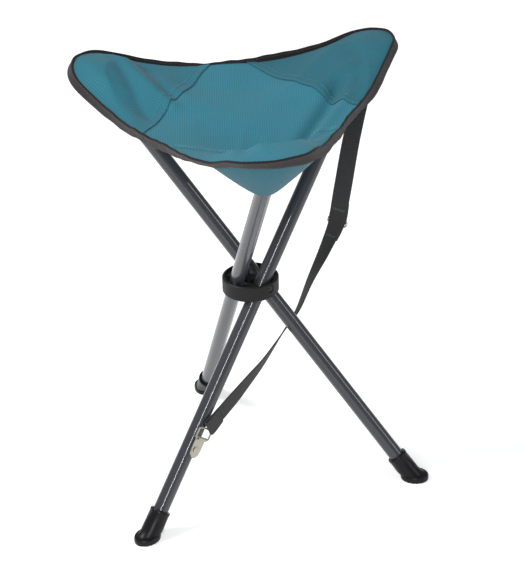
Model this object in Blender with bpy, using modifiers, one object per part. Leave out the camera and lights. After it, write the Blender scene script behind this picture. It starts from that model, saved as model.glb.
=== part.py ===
"""Folding three-leg stool: three tubes crossing in a moulded hub, a sling seat on their tops.

Metres, +Z up, the feet on Z = 0. The hub's axis is vertical, and leg a, b and c stand round it 120
degrees apart. Each leg turns on a radial screw through the hub, from its open tilt to upright.
"""

import math

import bmesh
import bpy
from mathutils import Matrix, Vector

# Legs and hub
TILT = math.radians(37.0)
HUB_Z = 0.2301
PIN_CIRCLE = 0.0149
TUBE_RADIUS = 0.008
TUBE_WALL = 0.001
TUBE_TOP = 0.2652
TUBE_BOTTOM = -0.272
HUB_RADIUS = 0.0295
HUB_TOP = 0.0062
HUB_BOTTOM = -0.0108
HUB_EDGE = 0.0012
RING_INNER_RADIUS = 0.0265
CORE_FACE = 0.0056
CORE_RECESS = 0.0025
SLOT_CLEARANCE = 0.0008
SLOT_MARGIN = 0.002
RADIAL_REACH = 0.04
SCREW_RADIUS = 0.0019
SCREW_HEAD_RADIUS = 0.0036
SCREW_HEAD_HEIGHT = 0.0014
SCREW_TIP = 0.0024
PLUG_DOME = 0.0042
PLUG_DEPTH = 0.016
GAP = 0.0003

# Rubber boots
BOOT_TOP = -0.2546
BOOT_RADIUS = 0.0108
BOOT_END = -0.305
SOLE_HALF_WIDTH = 0.0126
SOLE_HEIGHT = 0.0062
GROOVE_WIDTH = 0.0017
GROOVE_DEPTH = 0.0012
GROOVE_PITCH = 0.0048
GROOVES = 6

# Sling seat: a rounded triangle whose sides sag between the corners
CORNER_CENTRE = 0.1508
CORNER_RADIUS = 0.0414
SIDE_INSET = 0.004
RIM_Z = 0.4527
RIM_SAG = 0.0252
SEAT_MID_Z = 0.418
CORNER_FLAT = 0.19
CLOTH = 0.0018
SEAM_DISTANCE = 0.0735
BINDING_WIDTH = 0.0105
BINDING_THICKNESS = 0.0030
BINDING_RISE = 0.0008
BINDING_CLEARANCE = 0.0013
POCKET_MOUTH = 0.2045
POCKET_REACH = 7
POCKET_DROP = 0.0012
POCKET_ROUNDING = 0.2

# Carrying strap, as (out of the leg's plane, along the leg's heading, height) and its twist
STRAP_ROUTE = [
    (0.0000, 0.1830, 0.4390, 3),
    (0.0000, 0.1725, 0.4250, 4),
    (0.0000, 0.1600, 0.4060, 5),
    (0.0000, 0.1400, 0.3520, 15),
    (0.0000, 0.1246, 0.2939, 20),
    (0.0000, 0.1165, 0.2665, 12),
    (0.0000, 0.0964, 0.2332, -10),
    (0.0000, 0.0736, 0.2060, -30),
    (-0.0020, 0.0561, 0.1766, -40),
    (-0.0020, 0.0359, 0.1606, -50),
    (0.0030, -0.0005, 0.1406, -65),
    (0.0060, -0.0276, 0.1292, -78),
    (0.0085, -0.0548, 0.1180, -88),
    (0.0105, -0.0823, 0.1071, -92),
    (0.0110, -0.0885, 0.1050, -92),
]
STRAP_JOIN = 5
ROUTE_STEPS = 4
STRAP_UPPER_WIDTH = 0.020
STRAP_LOWER_WIDTH = 0.018
STRAP_THICKNESS = 0.0016
WIRE_RADIUS = 0.0010
WIRE_BEND = 0.0022
LINK_WIDTH = 0.0245
LINK_DEPTH = 0.0062
LINK_CLEARANCE = 0.0045

# Clip plate on leg b: its place up the tube, its size, its barrel, rivet and ring
CLIP_HEIGHT = -0.1825
CLIP_LENGTH = 0.0215
CLIP_HALF_WIDTH = 0.0072
CLIP_THICKNESS = 0.0012
CLIP_ASIDE = 0.0015
CLIP_RAISE = 0.0010
CLIP_TIP_DEPTH = 0.009
BARREL_WALL = 0.0011
BARREL_HALF_LENGTH = 0.0066
RIVET_RADIUS = 0.0016
RIVET_HEAD_RADIUS = 0.0031
RING_WIDTH = 0.0205
RING_DEPTH = 0.0115

LEGS = ("a", "b", "c")
CORNER_AZIMUTH = {"a": 150.0, "b": 30.0, "c": 270.0}
TOP_OFFSET = math.degrees(math.atan2(PIN_CIRCLE, TUBE_TOP * math.sin(TILT)))

COLOURS = {
    "tube": ((0.075, 0.082, 0.092), 0.32, 0.75),
    "hub": ((0.018, 0.018, 0.018), 0.62, 0.0),
    "rubber": ((0.012, 0.012, 0.013), 0.75, 0.0),
    "plug": ((0.02, 0.02, 0.02), 0.6, 0.0),
    "steel": ((0.62, 0.62, 0.58), 0.3, 1.0),
    "screw": ((0.10, 0.10, 0.10), 0.4, 0.9),
    "cloth": ((0.05, 0.225, 0.30), 0.85, 0.0),
    "binding": ((0.10, 0.088, 0.092), 0.85, 0.0),
    "webbing": ((0.035, 0.035, 0.036), 0.88, 0.0),
}


# Scene, materials and small helpers


def clear_scene():
    for obj in list(bpy.data.objects):
        bpy.data.objects.remove(obj, do_unlink=True)


def new_collection(name):
    found = bpy.data.collections.new(name)
    bpy.context.scene.collection.children.link(found)
    return found


def material_for(node, kind):
    colour, roughness, metallic = COLOURS[kind]
    made = bpy.data.materials.new(node)
    made.use_nodes = True
    shader = made.node_tree.nodes["Principled BSDF"]
    shader.inputs["Base Color"].default_value = (*colour, 1.0)
    shader.inputs["Roughness"].default_value = roughness
    shader.inputs["Metallic"].default_value = metallic
    return made


def object_from(bm, name, collection, parent=None):
    bmesh.ops.recalc_face_normals(bm, faces=bm.faces)
    mesh = bpy.data.meshes.new(name)
    bm.to_mesh(mesh)
    bm.free()
    obj = bpy.data.objects.new(name, mesh)
    collection.objects.link(obj)
    obj.parent = parent
    return obj


def finish_node(obj, kind, smooth=True):
    """Gives a node its material and, on a round piece, smooth shading with sharp edges."""
    obj.data.materials.clear()
    obj.data.materials.append(material_for(obj.name, kind))
    if smooth:
        obj.data.shade_smooth()
        obj.data.set_sharp_from_angle(angle=math.radians(35))
    return obj


def cutter(bm, name, parent=None):
    obj = object_from(bm, name, CUTTERS, parent)
    obj.hide_render = True
    obj.display_type = "WIRE"
    return obj


def boolean(obj, other, operation="DIFFERENCE"):
    added = obj.modifiers.new(other.name, "BOOLEAN")
    added.operation = operation
    added.object = other
    added.solver = "EXACT"
    return added


def cylinder_mesh(radius, low, high, segments=32, axis="Z"):
    bm = bmesh.new()
    bmesh.ops.create_cone(
        bm, cap_ends=True, segments=segments, radius1=radius, radius2=radius, depth=high - low
    )
    bmesh.ops.translate(bm, verts=bm.verts, vec=(0, 0, (low + high) / 2))
    if axis == "X":
        bmesh.ops.rotate(bm, verts=bm.verts, matrix=Matrix.Rotation(math.pi / 2, 3, "Y"))
    return bm


def box_mesh(low, high):
    bm = bmesh.new()
    bmesh.ops.create_cube(bm, size=1.0)
    low = Vector(low)
    high = Vector(high)
    bmesh.ops.scale(bm, verts=bm.verts, vec=high - low)
    bmesh.ops.translate(bm, verts=bm.verts, vec=(low + high) / 2)
    return bm


def turned(name, profile, collection, parent, segments=32):
    """A solid turned about its own Z from (radius, height) points that run down its outer side."""
    bm = bmesh.new()
    verts = [bm.verts.new((radius, 0, height)) for radius, height in profile]
    closed_loop = min(radius for radius, _ in profile) > 1e-6
    pairs = list(zip(verts, verts[1:]))
    if closed_loop:
        pairs.append((verts[-1], verts[0]))
    for first, second in pairs:
        bm.edges.new((first, second))
    mesh = bpy.data.meshes.new(name)
    bm.to_mesh(mesh)
    bm.free()
    obj = bpy.data.objects.new(name, mesh)
    collection.objects.link(obj)
    obj.parent = parent
    screw = obj.modifiers.new("turn", "SCREW")
    screw.steps = segments
    screw.render_steps = segments
    screw.use_merge_vertices = True
    screw.merge_threshold = 0.00001
    return obj


def wire_loop(name, width, depth, parent):
    """A closed rectangle of round wire in its own XY plane, with bent corners."""
    curve = bpy.data.curves.new(name, "CURVE")
    curve.dimensions = "3D"
    curve.bevel_depth = WIRE_RADIUS
    curve.bevel_resolution = 2
    spline = curve.splines.new("POLY")
    corners = ((1, 1), (-1, 1), (-1, -1), (1, -1))
    points = []
    for index, (sx, sy) in enumerate(corners):
        for step in range(5):
            angle = math.radians(90 * index + 22.5 * step)
            x = sx * (width / 2 - WIRE_BEND) + WIRE_BEND * math.cos(angle)
            y = sy * (depth / 2 - WIRE_BEND) + WIRE_BEND * math.sin(angle)
            points.append((x, y, 0.0))
    spline.points.add(len(points) - 1)
    for point, place in zip(spline.points, points):
        point.co = (*place, 1.0)
    spline.use_cyclic_u = True
    obj = bpy.data.objects.new(name, curve)
    PARTS.objects.link(obj)
    obj.parent = parent
    return obj


# Frames: one empty for the stool, one on each leg's pin axis


def stool_frame():
    empty = bpy.data.objects.new("stool_frame", None)
    PARTS.objects.link(empty)
    return empty


def pin_azimuth(leg):
    """The azimuth of a leg's pin: the tube passes the hub a quarter turn before its top's corner."""
    return math.radians(CORNER_AZIMUTH[leg] - 90 + TOP_OFFSET)


def pin_matrix(leg):
    """On the hub's axis at the pins' height, local X out along a leg's pin."""
    return Matrix.Translation((0, 0, HUB_Z)) @ Matrix.Rotation(pin_azimuth(leg), 4, "Z")


def leg_matrix(leg):
    """Local Z up the tube, local X out along the pin, origin on the tube's axis at the pin."""
    along_pin = Matrix.Translation((PIN_CIRCLE, 0, 0))
    return pin_matrix(leg) @ along_pin @ Matrix.Rotation(-TILT, 4, "X")


def leg_frame(leg, stool):
    empty = bpy.data.objects.new(f"leg_{leg}_axis", None)
    PARTS.objects.link(empty)
    empty.parent = stool
    empty.matrix_local = leg_matrix(leg)
    return empty


# Hub


def slot_profile():
    """The outline, square to the pin, of the space a tube sweeps between upright and open."""
    half = TUBE_RADIUS + SLOT_CLEARANCE
    top = HUB_TOP + SLOT_MARGIN
    bottom = HUB_BOTTOM - SLOT_MARGIN
    waist = half * math.tan(TILT / 2)
    reach_up = (half + top * math.sin(TILT)) / math.cos(TILT)
    reach_down = (half - bottom * math.sin(TILT)) / math.cos(TILT)
    return [
        (-half, top),
        (reach_up, top),
        (half, -waist),
        (half, bottom),
        (-reach_down, bottom),
        (-half, waist),
    ]


def slot_cutter(leg, stool):
    bm = bmesh.new()
    inner = [bm.verts.new((CORE_FACE, y, z)) for y, z in slot_profile()]
    face = bm.faces.new(inner)
    pushed = bmesh.ops.extrude_face_region(bm, geom=[face])
    moved = [item for item in pushed["geom"] if isinstance(item, bmesh.types.BMVert)]
    bmesh.ops.translate(bm, verts=moved, vec=(RADIAL_REACH, 0, 0))
    obj = cutter(bm, f"slot_{leg}", stool)
    obj.matrix_local = pin_matrix(leg)
    return obj


def pin_hole(leg, stool):
    hole = cylinder_mesh(SCREW_RADIUS + GAP, SCREW_TIP - GAP, RADIAL_REACH, 16, "X")
    obj = cutter(hole, f"pin_hole_{leg}", stool)
    obj.matrix_local = pin_matrix(leg)
    return obj


def head_recess(leg, stool):
    floor = HUB_RADIUS - SCREW_HEAD_HEIGHT
    recess = cylinder_mesh(SCREW_HEAD_RADIUS + 2 * GAP, floor, RADIAL_REACH, 20, "X")
    obj = cutter(recess, f"head_recess_{leg}", stool)
    obj.matrix_local = pin_matrix(leg)
    return obj


def make_hub(stool):
    core = cutter(
        cylinder_mesh(RING_INNER_RADIUS + 0.0006, HUB_BOTTOM + 0.0010, HUB_TOP - CORE_RECESS, 48),
        "hub_core",
        stool,
    )
    core.location = (0, 0, HUB_Z)
    for leg in LEGS:
        boolean(core, slot_cutter(leg, stool))
    rim = [
        (RING_INNER_RADIUS, HUB_TOP),
        (HUB_RADIUS - HUB_EDGE, HUB_TOP),
        (HUB_RADIUS, HUB_TOP - HUB_EDGE),
        (HUB_RADIUS, HUB_BOTTOM + HUB_EDGE),
        (HUB_RADIUS - HUB_EDGE, HUB_BOTTOM),
        (RING_INNER_RADIUS, HUB_BOTTOM),
    ]
    hub = turned("hub_body", rim, PARTS, stool, 48)
    hub.location = (0, 0, HUB_Z)
    boolean(hub, core, "UNION")
    for leg in LEGS:
        boolean(hub, pin_hole(leg, stool))
        boolean(hub, head_recess(leg, stool))
    finish_node(hub, "hub")


def make_pivot_screw(leg, stool):
    """A pan-head screw on the pin axis, through the ring wall and the tube into the hub's core."""
    head = HUB_RADIUS - SCREW_HEAD_HEIGHT + GAP
    profile = [
        (0.0, head + SCREW_HEAD_HEIGHT),
        (0.0022, head + 0.0012),
        (SCREW_HEAD_RADIUS, head + 0.0004),
        (SCREW_HEAD_RADIUS, head),
        (SCREW_RADIUS, head),
        (SCREW_RADIUS, SCREW_TIP + 0.0004),
        (SCREW_RADIUS - 0.0004, SCREW_TIP),
        (0.0, SCREW_TIP),
    ]
    screw = turned(f"pivot_screw_{leg}", profile, PARTS, stool, 16)
    screw.matrix_local = pin_matrix(leg) @ Matrix.Rotation(math.pi / 2, 4, "Y")
    finish_node(screw, "screw")


# Legs


def make_tube(leg, frame):
    inner = TUBE_RADIUS - TUBE_WALL
    profile = [
        (inner, TUBE_TOP),
        (TUBE_RADIUS, TUBE_TOP),
        (TUBE_RADIUS, TUBE_BOTTOM),
        (inner, TUBE_BOTTOM),
    ]
    tube = turned(f"leg_tube_{leg}", profile, PARTS, frame)
    cross_hole = cylinder_mesh(SCREW_RADIUS + GAP, -0.012, 0.012, 16, "X")
    boolean(tube, cutter(cross_hole, f"tube_hole_{leg}", frame))
    if leg == "b":
        rivet_hole = cylinder_mesh(RIVET_RADIUS + GAP, 0.0, 0.012, 16, "X")
        hole = cutter(rivet_hole, "rivet_hole", frame)
        hole.location = (0, 0, CLIP_HEIGHT)
        boolean(tube, hole)
    finish_node(tube, "tube")


def make_top_plug(leg, frame):
    """A moulded plug in the tube's top, with a domed head that bears on the seat's corner."""
    inner = TUBE_RADIUS - TUBE_WALL - GAP
    base = TUBE_TOP + GAP
    profile = [
        (0.0, base + PLUG_DOME),
        (0.0032, base + 0.0038),
        (0.0060, base + 0.0026),
        (TUBE_RADIUS, base + 0.0006),
        (TUBE_RADIUS, base),
        (inner, base),
        (inner, TUBE_TOP - PLUG_DEPTH),
        (0.0, TUBE_TOP - PLUG_DEPTH),
    ]
    plug = turned(f"top_plug_{leg}", profile, PARTS, frame, 24)
    finish_node(plug, "plug")


def make_boot(leg, frame, stool):
    """A rubber boot over the tube's end, its oval sole flat on the floor with cross grooves."""
    bore = TUBE_RADIUS + GAP
    profile = [
        (0.0, TUBE_BOTTOM - GAP),
        (bore, TUBE_BOTTOM - GAP),
        (bore, BOOT_TOP),
        (BOOT_RADIUS - 0.0006, BOOT_TOP),
        (BOOT_RADIUS, BOOT_TOP - 0.0006),
        (BOOT_RADIUS + 0.0003, BOOT_TOP - 0.022),
        (BOOT_RADIUS + 0.0006, BOOT_END),
        (0.0, BOOT_END),
    ]
    boot = turned(f"foot_boot_{leg}", profile, PARTS, frame, 32)
    along = math.radians(CORNER_AZIMUTH[leg] + TOP_OFFSET)
    foot = HUB_Z / math.cos(TILT)
    pin = pin_azimuth(leg)
    centre = Vector((math.cos(pin), math.sin(pin), 0)) * PIN_CIRCLE
    centre -= Vector((math.cos(along), math.sin(along), 0)) * foot * math.sin(TILT)
    place = Matrix.Translation(centre) @ Matrix.Rotation(along, 4, "Z")

    below = box_mesh((-0.05, -0.05, -0.05), (0.05, 0.05, SOLE_HEIGHT / 2))
    floor = cutter(below, f"floor_{leg}", stool)
    floor.matrix_local = place
    sole_profile = [
        (0.0, SOLE_HEIGHT),
        (SOLE_HALF_WIDTH - 0.0022, SOLE_HEIGHT),
        (SOLE_HALF_WIDTH - 0.0007, SOLE_HEIGHT - 0.0009),
        (SOLE_HALF_WIDTH, SOLE_HEIGHT - 0.0026),
        (SOLE_HALF_WIDTH, 0.0007),
        (SOLE_HALF_WIDTH - 0.0007, 0.0),
        (0.0, 0.0),
    ]
    sole = turned(f"sole_{leg}", sole_profile, CUTTERS, stool, 32)
    sole.matrix_local = place @ Matrix.Scale(1 / math.cos(TILT), 4, (1, 0, 0))
    sole.hide_render = True
    sole.display_type = "WIRE"
    boolean(boot, floor)
    boolean(boot, sole, "UNION")
    grooves = bmesh.new()
    for index in range(GROOVES):
        x = (index - (GROOVES - 1) / 2) * GROOVE_PITCH
        low = Vector((x - GROOVE_WIDTH / 2, -0.03, -0.01))
        high = Vector((x + GROOVE_WIDTH / 2, 0.03, GROOVE_DEPTH))
        slab = bmesh.ops.create_cube(grooves, size=1.0)["verts"]
        bmesh.ops.scale(grooves, verts=slab, vec=high - low)
        bmesh.ops.translate(grooves, verts=slab, vec=(low + high) / 2)
    cut = cutter(grooves, f"grooves_{leg}", stool)
    cut.matrix_local = place
    boolean(boot, cut)
    finish_node(boot, "rubber")


# Seat


def rim_points(inset=0.0, corner_steps=8, side_steps=10):
    """The seat's edge as (x, y, z), anticlockwise, moved inwards by inset."""
    points = []
    for azimuth in (30.0, 150.0, 270.0):
        axis = math.radians(azimuth)
        centre = Vector((math.cos(axis), math.sin(axis))) * CORNER_CENTRE
        for step in range(corner_steps + 1):
            angle = axis + math.radians(-60 + 120 * step / corner_steps)
            out = Vector((math.cos(angle), math.sin(angle)))
            place = centre + out * (CORNER_RADIUS - inset)
            points.append((place.x, place.y, RIM_Z))
        middle = axis + math.radians(60)
        following = axis + math.radians(120)
        out = Vector((math.cos(middle), math.sin(middle)))
        start = centre + out * CORNER_RADIUS
        end = Vector((math.cos(following), math.sin(following))) * CORNER_CENTRE + out * CORNER_RADIUS
        for step in range(1, side_steps):
            t = 2 * step / side_steps - 1
            bow = 1 - t * t
            place = start.lerp(end, (t + 1) / 2) - out * (SIDE_INSET * bow + inset)
            points.append((place.x, place.y, RIM_Z - RIM_SAG * bow))
    return points


def outward_normals(points):
    normals = []
    for index, here in enumerate(points):
        before = points[index - 1]
        after = points[(index + 1) % len(points)]
        run = Vector((after[0] - before[0], after[1] - before[1]))
        normals.append(Vector((run.y, -run.x)).normalized())
    return normals


def cloth_height(part, rim_z):
    """The sling's height at a part of the way out to the rim; a corner is flat over its tube's end."""
    corner = 1 - (RIM_Z - rim_z) / RIM_SAG
    climbed = min(1.0, part / (1 - CORNER_FLAT * corner)) ** 2
    return SEAT_MID_Z + (rim_z - SEAT_MID_Z) * climbed


def cloth_sheet(name, rings=9):
    """The whole sling as a shell: rings from the middle out to the binding, thickened downwards."""
    rim = rim_points(BINDING_THICKNESS / 2 + BINDING_CLEARANCE)
    bm = bmesh.new()
    middle = bm.verts.new((0, 0, SEAT_MID_Z))
    loops = []
    for ring in range(1, rings + 1):
        part = ring / rings
        loops.append([bm.verts.new((x * part, y * part, cloth_height(part, z))) for x, y, z in rim])
    count = len(rim)
    for index in range(count):
        after = (index + 1) % count
        bm.faces.new((middle, loops[0][index], loops[0][after]))
        for inner, outer in zip(loops, loops[1:]):
            bm.faces.new((inner[index], outer[index], outer[after], inner[after]))
    obj = object_from(bm, name, PARTS)
    solid = obj.modifiers.new("cloth", "SOLIDIFY")
    solid.thickness = CLOTH
    solid.offset = -1
    return obj


def seam_block(leg, gap, stool):
    """All the space beyond a corner's seam, whose face is square to the line out to the corner."""
    block = box_mesh((SEAM_DISTANCE + gap, -0.2, 0.3), (0.3, 0.2, 0.6))
    obj = cutter(block, f"seam_block_{leg}_{'in' if gap < 0 else 'out'}", stool)
    obj.matrix_local = Matrix.Rotation(math.radians(CORNER_AZIMUTH[leg]), 4, "Z")
    return obj


def make_seat_panels(stool):
    centre = cloth_sheet("seat_centre_panel")
    centre.parent = stool
    for leg in LEGS:
        boolean(centre, seam_block(leg, -GAP / 2, stool))
        corner = cloth_sheet(f"seat_corner_panel_{leg}")
        corner.parent = stool
        boolean(corner, seam_block(leg, GAP / 2, stool), "INTERSECT")
        finish_node(corner, "cloth")
    finish_node(centre, "cloth")


def make_binding(stool):
    """The folded tape round the seat's edge, as one closed band standing on the rim line."""
    rim = rim_points()
    normals = outward_normals(rim)
    bm = bmesh.new()
    half = BINDING_THICKNESS / 2
    foot = -BINDING_WIDTH
    section = ((half, BINDING_RISE), (half, foot), (-half, foot), (-half, BINDING_RISE))
    rings = []
    for (x, y, z), out in zip(rim, normals):
        ring = []
        for side, rise in section:
            ring.append(bm.verts.new((x + out.x * side, y + out.y * side, z + rise)))
        rings.append(ring)
    for index, ring in enumerate(rings):
        following = rings[(index + 1) % len(rings)]
        for corner in range(4):
            beside = (corner + 1) % 4
            bm.faces.new((ring[corner], following[corner], following[beside], ring[beside]))
    obj = object_from(bm, "edge_binding", PARTS, stool)
    finish_node(obj, "binding")


def make_pocket(leg, stool):
    """The patch under a corner: it hangs from the rim's arc and passes outside the tube."""
    axis = math.radians(CORNER_AZIMUTH[leg])
    to_corner = Vector((math.cos(axis), math.sin(axis), 0))
    rim = rim_points(BINDING_THICKNESS / 2 + 2 * GAP)
    nearest = max(range(len(rim)), key=lambda i: Vector(rim[i]).dot(to_corner))
    arc = [rim[(nearest + step) % len(rim)] for step in range(-POCKET_REACH, POCKET_REACH + 1)]
    upper = [Vector((x, y, z - CLOTH - POCKET_DROP)) for x, y, z in arc]
    outward = to_corner * math.cos(TILT) - Vector((0, 0, math.sin(TILT)))
    mouth = leg_matrix(leg) @ Vector((0, 0, POCKET_MOUTH)) + outward * (TUBE_RADIUS + CLOTH)
    left = upper[0]
    right = upper[-1]
    span = math.sqrt(1 + POCKET_ROUNDING**2) - POCKET_ROUNDING
    lower = []
    for step in range(-POCKET_REACH, POCKET_REACH + 1):
        across = step / POCKET_REACH
        side = left if across < 0 else right
        rise = (math.sqrt(across**2 + POCKET_ROUNDING**2) - POCKET_ROUNDING) / span
        end = mouth.lerp(side, rise)
        wide = mouth.lerp(side, abs(across))
        lower.append(Vector((wide.x, wide.y, end.z)))
    bm = bmesh.new()
    rows = 5
    grid = []
    for row in range(rows + 1):
        part = row / rows
        line = []
        for index in range(1, len(upper) - 1):
            line.append(bm.verts.new(upper[index].lerp(lower[index], part)))
        grid.append(line)
    for first, second in zip(grid, grid[1:]):
        for index in range(len(first) - 1):
            bm.faces.new((first[index], first[index + 1], second[index + 1], second[index]))
    obj = object_from(bm, f"corner_pocket_{leg}", PARTS, stool)
    solid = obj.modifiers.new("cloth", "SOLIDIFY")
    solid.thickness = CLOTH * 0.8
    solid.offset = 0
    finish_node(obj, "cloth")


# Carrying strap and its fittings, in leg b's plane


def strap_axes():
    pin = pin_azimuth("b")
    out = Vector((math.cos(pin), math.sin(pin), 0))
    heading = Vector((-math.sin(pin), math.cos(pin), 0))
    return out, heading


def strap_point(row):
    out, heading = strap_axes()
    aside, along, height, _ = row
    return out * (PIN_CIRCLE + aside) + heading * along + Vector((0, 0, height))


def smooth_route(rows, steps=ROUTE_STEPS):
    """Points and twists along a Catmull-Rom curve through the rows, as (point, degrees)."""
    found = []
    for index in range(len(rows) - 1):
        keys = [rows[max(0, min(len(rows) - 1, index + shift))] for shift in (-1, 0, 1, 2)]
        places = [strap_point(key) for key in keys]
        for step in range(steps):
            t = step / steps
            weights = (
                -t / 2 + t * t - t**3 / 2,
                1 - 2.5 * t * t + 1.5 * t**3,
                t / 2 + 2 * t * t - 1.5 * t**3,
                -t * t / 2 + t**3 / 2,
            )
            place = sum((p * w for p, w in zip(places, weights)), Vector((0, 0, 0)))
            twist = keys[1][3] + (keys[2][3] - keys[1][3]) * t
            found.append((place, twist))
    found.append((strap_point(rows[-1]), rows[-1][3]))
    return found


def width_direction(tangent, twist):
    """Square to the run: along the leg's plane normal at 0 degrees, in the leg's plane at 90."""
    out, _ = strap_axes()
    flat = (out - tangent * out.dot(tangent)).normalized()
    other = flat.cross(tangent).normalized()
    angle = math.radians(twist)
    return flat * math.cos(angle) + other * math.sin(angle)


def band(name, path, width, stool):
    """A flat band of rectangular section swept along (point, twist) pairs."""
    bm = bmesh.new()
    rings = []
    for index, (place, twist) in enumerate(path):
        before = path[max(0, index - 1)][0]
        after = path[min(len(path) - 1, index + 1)][0]
        tangent = (after - before).normalized()
        wide = width_direction(tangent, twist)
        thick = tangent.cross(wide)
        half_wide = wide * (width / 2)
        half_thick = thick * (STRAP_THICKNESS / 2)
        corners = ((1, 1), (-1, 1), (-1, -1), (1, -1))
        rings.append([bm.verts.new(place + half_wide * sx + half_thick * sy) for sx, sy in corners])
    for first, second in zip(rings, rings[1:]):
        for corner in range(4):
            beside = (corner + 1) % 4
            bm.faces.new((first[corner], second[corner], second[beside], first[beside]))
    bm.faces.new(rings[0])
    bm.faces.new(rings[-1])
    obj = object_from(bm, name, PARTS, stool)
    finish_node(obj, "webbing")


def trimmed(path, start, end):
    """The path without its first start and last end metres."""
    for amount, order in ((start, 1), (end, -1)):
        path = path[::order]
        while (path[1][0] - path[0][0]).length < amount:
            amount -= (path[1][0] - path[0][0]).length
            path = path[1:]
        if amount > 0:
            part = amount / (path[1][0] - path[0][0]).length
            place = path[0][0].lerp(path[1][0], part)
            path = [(place, path[0][1]), *path[1:]]
        path = path[::order]
    return path


def make_strap(stool):
    whole = smooth_route(STRAP_ROUTE)
    join = STRAP_JOIN * ROUTE_STEPS
    upper = trimmed(whole[: join + 1], 0.0, LINK_CLEARANCE)
    lower = trimmed(whole[join:], LINK_CLEARANCE, 4 * GAP)
    band("strap_upper", upper, STRAP_UPPER_WIDTH, stool)
    band("strap_lower", lower, STRAP_LOWER_WIDTH, stool)
    place, twist = whole[join]
    tangent = (whole[join + 1][0] - whole[join - 1][0]).normalized()
    wide = width_direction(tangent, twist)
    link = wire_loop("strap_link", LINK_WIDTH, LINK_DEPTH, stool)
    link.matrix_local = frame_from(place, wide, tangent)
    finish_curve(link, "steel")


def frame_from(origin, x_axis, y_axis):
    z_axis = x_axis.cross(y_axis)
    columns = Matrix((x_axis, y_axis, z_axis)).transposed().to_4x4()
    return Matrix.Translation(origin) @ columns


def finish_curve(obj, kind):
    obj.data.materials.append(material_for(obj.name, kind))


def clip_outline(steps=10):
    """The plate's outline up the tube: a round tip below, widening to a square top edge."""
    tip = -CLIP_LENGTH / 2
    top = CLIP_LENGTH / 2
    points = []
    for step in range(steps + 1):
        angle = math.pi * step / steps
        height = tip + CLIP_TIP_DEPTH * (1 - math.sin(angle))
        points.append((-CLIP_HALF_WIDTH * math.cos(angle), height))
    points.append((CLIP_HALF_WIDTH, top))
    points.append((-CLIP_HALF_WIDTH, top))
    return points


def make_clip(frame):
    """Plate flat against the tube's outer side, a rivet through both, a wire ring in its top curl."""
    curve = bpy.data.curves.new("clip_plate_outline", "CURVE")
    curve.dimensions = "2D"
    curve.fill_mode = "BOTH"
    curve.extrude = CLIP_THICKNESS / 2
    spline = curve.splines.new("POLY")
    outline = clip_outline()
    spline.points.add(len(outline) - 1)
    for point, (x, y) in zip(spline.points, outline):
        point.co = (x, y, 0, 1)
    spline.use_cyclic_u = True
    sketch = bpy.data.objects.new("clip_plate_sketch", curve)
    CUTTERS.objects.link(sketch)
    bpy.context.view_layer.update()
    graph = bpy.context.evaluated_depsgraph_get()
    mesh = bpy.data.meshes.new_from_object(sketch.evaluated_get(graph))
    bpy.data.objects.remove(sketch, do_unlink=True)
    bm = bmesh.new()
    bm.from_mesh(mesh)
    bmesh.ops.remove_doubles(bm, verts=bm.verts, dist=1e-6)
    plate = object_from(bm, "clip_plate", PARTS, frame)
    stand_off = TUBE_RADIUS + GAP + CLIP_THICKNESS / 2
    lie = Matrix(((0, 0, 1), (1, 0, 0), (0, 1, 0))).to_4x4()
    plate_place = Vector((stand_off, CLIP_ASIDE, CLIP_HEIGHT + CLIP_RAISE))
    plate.matrix_local = Matrix.Translation(plate_place) @ lie
    curl = cylinder_mesh(WIRE_RADIUS + BARREL_WALL, -BARREL_HALF_LENGTH, BARREL_HALF_LENGTH, 20)
    bmesh.ops.rotate(curl, verts=curl.verts, matrix=Matrix.Rotation(math.pi / 2, 3, "Y"))
    barrel = cutter(curl, "clip_barrel", plate)
    barrel.location = (0, CLIP_LENGTH / 2 + 0.0006, 0.0014)
    boolean(plate, barrel, "UNION")
    bore = cylinder_mesh(WIRE_RADIUS + GAP, -0.02, 0.02, 16)
    bmesh.ops.rotate(bore, verts=bore.verts, matrix=Matrix.Rotation(math.pi / 2, 3, "Y"))
    hollow = cutter(bore, "clip_bore", plate)
    hollow.location = barrel.location
    boolean(plate, hollow)
    shank = cylinder_mesh(RIVET_RADIUS + GAP, -0.01, 0.01, 16)
    shank_hole = cutter(shank, "clip_rivet_hole", plate)
    shank_hole.location = (-CLIP_ASIDE, -CLIP_RAISE, 0)
    boolean(plate, shank_hole)
    finish_node(plate, "steel")

    face = TUBE_RADIUS + 2 * GAP + CLIP_THICKNESS
    head = [
        (0.0, face + 0.0012),
        (0.0018, face + 0.0010),
        (RIVET_HEAD_RADIUS, face + GAP),
        (RIVET_HEAD_RADIUS, face),
        (RIVET_RADIUS, face),
        (RIVET_RADIUS, TUBE_RADIUS - TUBE_WALL - 0.0015),
        (0.0, TUBE_RADIUS - TUBE_WALL - 0.0015),
    ]
    rivet = turned("clip_rivet", head, PARTS, frame, 16)
    rivet.matrix_local = Matrix.Translation((0, 0, CLIP_HEIGHT)) @ Matrix.Rotation(math.pi / 2, 4, "Y")
    finish_node(rivet, "steel")

    ring = wire_loop("clip_ring", RING_WIDTH, RING_DEPTH, plate)
    ring.matrix_local = Matrix.Translation(barrel.location + Vector((0, RING_DEPTH / 2, 0)))
    finish_curve(ring, "steel")


clear_scene()
PARTS = new_collection("three_leg_stool")
CUTTERS = new_collection("cutters")
STOOL = stool_frame()
make_hub(STOOL)
for LEG in LEGS:
    FRAME = leg_frame(LEG, STOOL)
    make_pivot_screw(LEG, STOOL)
    make_tube(LEG, FRAME)
    make_top_plug(LEG, FRAME)
    make_boot(LEG, FRAME, STOOL)
    make_pocket(LEG, STOOL)
    if LEG == "b":
        make_clip(FRAME)
make_seat_panels(STOOL)
make_binding(STOOL)
make_strap(STOOL)
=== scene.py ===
import math

import bmesh
import bpy
import numpy as np
from mathutils import Matrix, Vector


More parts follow.
